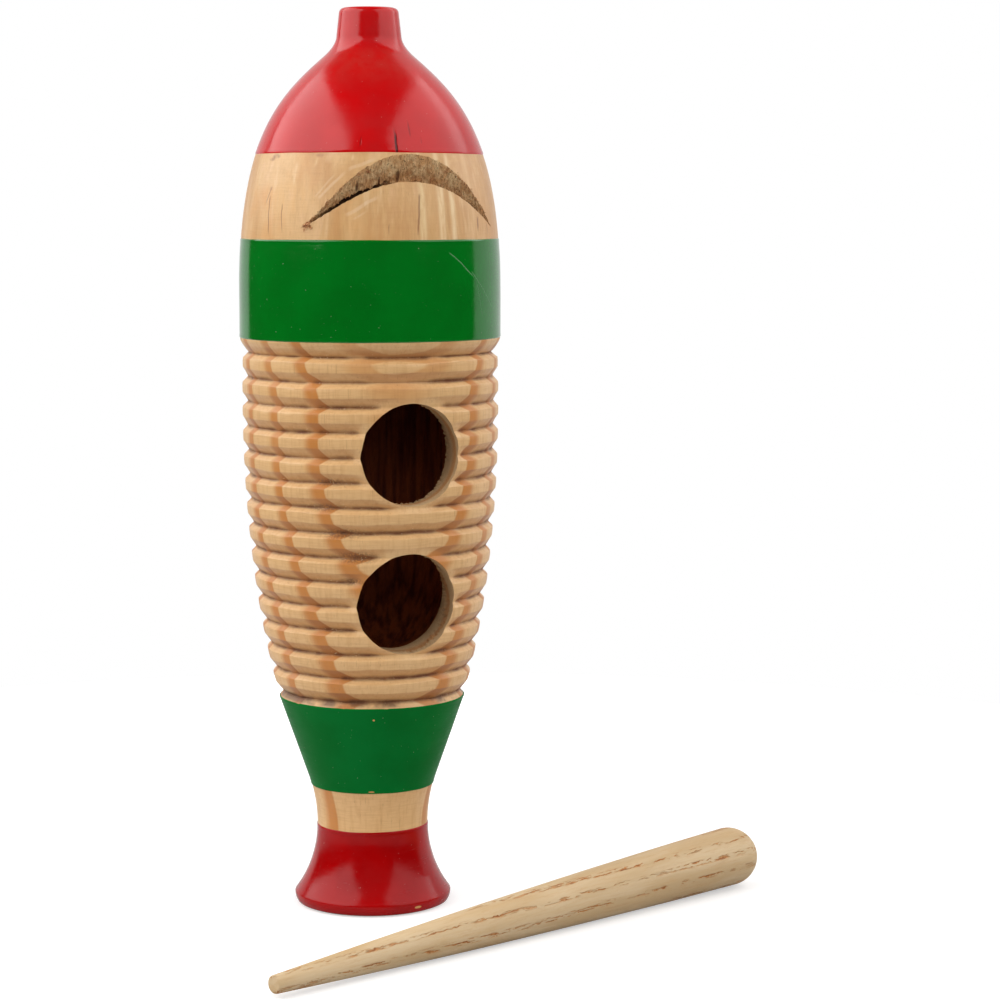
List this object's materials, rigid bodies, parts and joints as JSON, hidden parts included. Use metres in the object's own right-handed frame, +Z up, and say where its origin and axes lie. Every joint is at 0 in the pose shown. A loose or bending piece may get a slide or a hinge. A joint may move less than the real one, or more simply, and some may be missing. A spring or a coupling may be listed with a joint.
{
  "type": "guiro",
  "caption": "Upright turned wooden guiro with a ridged belly, finger holes, a slanted sound mouth and a lacquered nose, tail and foot, with its loose turned scraper.",
  "frame": {"origin": "centre of the flat underside of the foot", "axes": "+Z up along the turning axis towards the nose knob; -Y is the front, where the two finger holes face; the scraper lies in front of the guiro with its thin end towards -X"},
  "size_m": [0.1791, 0.1353, 0.27],
  "materials": {
    "bare_wood": "clear satin lacquer over pale tan wood",
    "red_lacquer": "opaque high-gloss red lacquer over wood",
    "green_lacquer": "opaque gloss green lacquer over wood",
    "scraper_wood": "open-pored pale hardwood, lightly waxed"
  },
  "bodies": {
    "guiro": {"body": "bare_wood", "head": "red_lacquer"},
    "scraper": {"scraper": "scraper_wood"}
  },
  "joints": [
    {"name": "scraper_stroke", "type": "slide", "parent": "guiro", "child": "scraper", "axis": [0, 0, 1], "range_m": [0, 0.16]}
  ]
}
